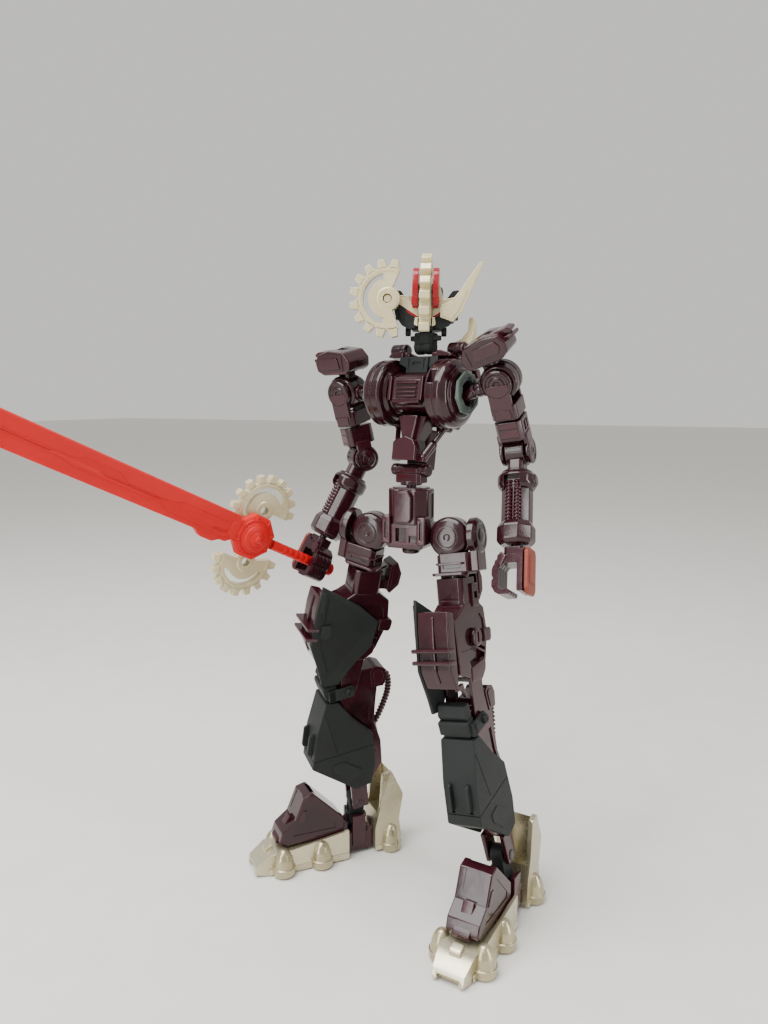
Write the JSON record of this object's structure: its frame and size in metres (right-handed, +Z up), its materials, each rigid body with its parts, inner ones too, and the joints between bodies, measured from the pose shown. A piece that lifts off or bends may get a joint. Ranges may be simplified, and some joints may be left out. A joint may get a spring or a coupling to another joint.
{
  "type": "action figure",
  "caption": "Posable inner-frame walking machine figure in a striding stance, with plate armour on its legs, a gear crest, and a long single-edged sword with gear cross-guards.",
  "frame": {"origin": "middle of the outline at floor level, under the soles", "axes": "+Z up through the standing figure, -Y the way the figure faces, +X its own left side"},
  "size_m": [0.1096, 0.1406, 0.1809],
  "materials": {
    "frame_plastic": "gloss",
    "armour_plastic": "matte",
    "champagne_paint": "satin metallic",
    "cream_plastic": "satin",
    "red_plastic": "gloss",
    "sword_plastic": "satin",
    "ring_plastic": "satin",
    "palm_plastic": "satin"
  },
  "bodies": {
    "pelvis": {"pelvis_block": "frame_plastic"},
    "left_hip": {"hip_disc_left": "frame_plastic"},
    "left_thigh_collar": {"thigh_collar_left": "frame_plastic"},
    "left_thigh": {"thigh_left": "frame_plastic", "thigh_armour_left": "armour_plastic"},
    "left_shin": {"shin_left": "frame_plastic", "knee_cap_left": "armour_plastic", "shin_armour_left": "armour_plastic"},
    "left_ankle": {"ankle_left": "armour_plastic"},
    "left_foot": {"instep_left": "frame_plastic", "toe_shell_left": "champagne_paint", "heel_left": "champagne_paint"},
    "right_hip": {"hip_disc_right": "frame_plastic"},
    "right_thigh_collar": {"thigh_collar_right": "frame_plastic"},
    "right_thigh": {"thigh_right": "frame_plastic", "thigh_armour_right": "armour_plastic"},
    "right_shin": {"shin_right": "frame_plastic", "knee_cap_right": "armour_plastic", "shin_armour_right": "armour_plastic"},
    "right_ankle": {"ankle_right": "armour_plastic"},
    "right_foot": {"instep_right": "frame_plastic", "toe_shell_right": "champagne_paint", "heel_right": "champagne_paint"},
    "waist": {"waist_bar": "frame_plastic"},
    "trunk": {"abdomen": "frame_plastic", "chest_drum": "frame_plastic", "drum_ring_right": "ring_plastic", "drum_ring_left": "ring_plastic", "yoke": "frame_plastic", "collar_horn": "cream_plastic"},
    "left_clavicle": {"clavicle_left": "frame_plastic"},
    "left_shoulder": {"shoulder_disc_left": "frame_plastic"},
    "left_pauldron": {"pauldron_left": "frame_plastic"},
    "left_upper_arm": {"upper_arm_left": "frame_plastic"},
    "left_elbow_block": {"elbow_block_left": "frame_plastic"},
    "left_forearm": {"forearm_left": "frame_plastic"},
    "left_hand": {"hand_left": "frame_plastic", "palm_plate_left": "palm_plastic"},
    "right_clavicle": {"clavicle_right": "frame_plastic"},
    "right_shoulder": {"shoulder_disc_right": "frame_plastic"},
    "right_pauldron": {"pauldron_right": "frame_plastic"},
    "right_upper_arm": {"upper_arm_right": "frame_plastic"},
    "right_elbow_block": {"elbow_block_right": "frame_plastic"},
    "right_forearm": {"forearm_right": "frame_plastic"},
    "right_hand": {"hand_right": "frame_plastic", "palm_plate_right": "palm_plastic", "sword_grip": "sword_plastic", "sword_hub": "sword_plastic", "sword_blade": "sword_plastic", "guard_gear_upper": "cream_plastic", "guard_gear_lower": "cream_plastic"},
    "neck": {"neck_column": "armour_plastic"},
    "head": {"helmet": "armour_plastic", "crest_gear": "cream_plastic", "face_plate_left": "red_plastic", "face_plate_right": "red_plastic", "head_fin": "cream_plastic", "brow": "cream_plastic"},
    "side_gear": {"side_gear": "cream_plastic"}
  },
  "joints": [
    {"name": "left_hip_swing", "type": "hinge", "parent": "pelvis", "child": "left_hip", "pos_m": [0.0246, 0.044, 0.10552], "axis": [1, 0, 0], "range_deg": [-30, 20]},
    {"name": "left_hip_spread", "type": "hinge", "parent": "left_hip", "child": "left_thigh_collar", "pos_m": [0.0291, 0.044, 0.10552], "axis": [0, -0.9907, 0.1357], "range_deg": [-5, 14]},
    {"name": "left_thigh_turn", "type": "hinge", "parent": "left_thigh_collar", "child": "left_thigh", "pos_m": [0.03073, 0.04261, 0.09535], "axis": [-0.1564, 0.134, 0.9786], "range_deg": [-15, 15]},
    {"name": "left_knee_bend", "type": "hinge", "parent": "left_thigh", "child": "left_shin", "pos_m": [0.03657, 0.03761, 0.05885], "axis": [0.9823, -0.0824, 0.1683], "range_deg": [-15.8, 22.2]},
    {"name": "left_ankle_pitch", "type": "hinge", "parent": "left_shin", "child": "left_ankle", "pos_m": [0.0442, 0.04498, 0.0179], "axis": [0.9823, -0.0824, 0.1683], "range_deg": [-12, 12]},
    {"name": "left_ankle_roll", "type": "hinge", "parent": "left_ankle", "child": "left_foot", "pos_m": [0.04537, 0.04488, 0.011], "axis": [-0.0836, -0.9965, 0], "range_deg": [-12, 12]},
    {"name": "right_hip_swing", "type": "hinge", "parent": "pelvis", "child": "right_hip", "pos_m": [0.0096, 0.044, 0.10552], "axis": [1, 0, 0], "range_deg": [-30, 4]},
    {"name": "right_hip_spread", "type": "hinge", "parent": "right_hip", "child": "right_thigh_collar", "pos_m": [0.0051, 0.044, 0.10552], "axis": [0, 0.9997, 0.0262], "range_deg": [-5, 3]},
    {"name": "right_thigh_turn", "type": "hinge", "parent": "right_thigh_collar", "child": "right_thigh", "pos_m": [0.00285, 0.04427, 0.09537], "axis": [-0.2164, 0.0256, -0.976], "range_deg": [-15, 6]},
    {"name": "right_knee_bend", "type": "hinge", "parent": "right_thigh", "child": "right_shin", "pos_m": [-0.00522, 0.04522, 0.05897], "axis": [0.7544, -0.6301, -0.1838], "range_deg": [-13.64, 24.36]},
    {"name": "right_ankle_pitch", "type": "hinge", "parent": "right_shin", "child": "right_ankle", "pos_m": [-0.00697, 0.05511, 0.01788], "axis": [0.7544, -0.6301, -0.1838], "range_deg": [-12, 12]},
    {"name": "right_ankle_roll", "type": "hinge", "parent": "right_ankle", "child": "right_foot", "pos_m": [-0.00796, 0.05594, 0.011], "axis": [0.6411, 0.7675, 0], "range_deg": [-12, 12]},
    {"name": "waist_turn", "type": "hinge", "parent": "pelvis", "child": "waist", "pos_m": [0.0171, 0.044, 0.12102], "axis": [0, 0, 1], "range_deg": [-30, 3]},
    {"name": "trunk_tilt", "type": "hinge", "parent": "waist", "child": "trunk", "pos_m": [0.0171, 0.044, 0.12322], "axis": [0.9848, -0.1736, 0], "range_deg": [-4, 14]},
    {"name": "left_shoulder_shrug", "type": "hinge", "parent": "trunk", "child": "left_clavicle", "pos_m": [0.03369, 0.04478, 0.14391], "axis": [-0.171, -0.9698, 0.1736], "range_deg": [-4, 10]},
    {"name": "left_shoulder_swing", "type": "hinge", "parent": "left_clavicle", "child": "left_shoulder", "pos_m": [0.04231, 0.04386, 0.14726], "axis": [0.9273, -0.0989, 0.3609], "range_deg": [-60, 30]},
    {"name": "left_pauldron_lift", "type": "hinge", "parent": "left_shoulder", "child": "left_pauldron", "pos_m": [0.04004, 0.04182, 0.15254], "axis": [0.0353, -0.9371, -0.3474], "range_deg": [-8, 30]},
    {"name": "left_arm_raise", "type": "hinge", "parent": "left_shoulder", "child": "left_upper_arm", "pos_m": [0.04231, 0.04386, 0.14726], "axis": [0.0353, -0.9371, -0.3474], "range_deg": [-1, 40]},
    {"name": "left_arm_turn", "type": "hinge", "parent": "left_upper_arm", "child": "left_elbow_block", "pos_m": [0.04357, 0.04728, 0.13816], "axis": [-0.1285, -0.349, 0.9283], "range_deg": [-10, 15]},
    {"name": "left_elbow_bend", "type": "hinge", "parent": "left_elbow_block", "child": "left_forearm", "pos_m": [0.04489, 0.05084, 0.1287], "axis": [0.9898, 0.0126, 0.1418], "range_deg": [-50.1, 34.9]},
    {"name": "left_wrist_turn", "type": "hinge", "parent": "left_forearm", "child": "left_hand", "pos_m": [0.04838, 0.04007, 0.10529], "axis": [-0.1342, 0.4143, 0.9002], "range_deg": [-57.6, 62.4]},
    {"name": "right_shoulder_shrug", "type": "hinge", "parent": "trunk", "child": "right_clavicle", "pos_m": [0.00178, 0.05041, 0.14391], "axis": [0.171, 0.9698, -0.1736], "range_deg": [-1, 10]},
    {"name": "right_shoulder_swing", "type": "hinge", "parent": "right_clavicle", "child": "right_shoulder", "pos_m": [-0.00733, 0.05213, 0.14454], "axis": [0.9803, -0.1852, -0.0687], "range_deg": [-60, 30]},
    {"name": "right_pauldron_lift", "type": "hinge", "parent": "right_shoulder", "child": "right_pauldron", "pos_m": [-0.00718, 0.05074, 0.15048], "axis": [0.1959, 0.9559, 0.2189], "range_deg": [-8, 30]},
    {"name": "right_arm_raise", "type": "hinge", "parent": "right_shoulder", "child": "right_upper_arm", "pos_m": [-0.00733, 0.05213, 0.14454], "axis": [0.1959, 0.9559, 0.2189], "range_deg": [-1, 40]},
    {"name": "right_arm_turn", "type": "hinge", "parent": "right_upper_arm", "child": "right_elbow_block", "pos_m": [-0.00599, 0.05403, 0.13503], "axis": [0.137, 0.1944, -0.9713], "range_deg": [-5, 15]},
    {"name": "right_elbow_bend", "type": "hinge", "parent": "right_elbow_block", "child": "right_forearm", "pos_m": [-0.00459, 0.05602, 0.12512], "axis": [0.7576, -0.6522, -0.0237], "range_deg": [-53.3, 7.7]},
    {"name": "right_wrist_turn", "type": "hinge", "parent": "right_forearm", "child": "right_hand", "pos_m": [-0.01297, 0.04712, 0.10217], "axis": [-0.3222, -0.3423, -0.8826], "range_deg": [-11.5, 12.5]},
    {"name": "neck_nod", "type": "hinge", "parent": "trunk", "child": "neck", "pos_m": [0.01823, 0.05038, 0.15651], "axis": [0.9848, -0.1736, 0], "range_deg": [-14, 12]},
    {"name": "head_turn", "type": "hinge", "parent": "neck", "child": "head", "pos_m": [0.01825, 0.05052, 0.1605], "axis": [0.0061, 0.0344, 0.9994], "range_deg": [-60, 20]},
    {"name": "side_gear_turn", "type": "hinge", "parent": "head", "child": "side_gear", "pos_m": [0.01082, 0.04212, 0.16884], "axis": [-0.3421, 0.9392, -0.0302], "range_deg": [-20, 20]}
  ]
}
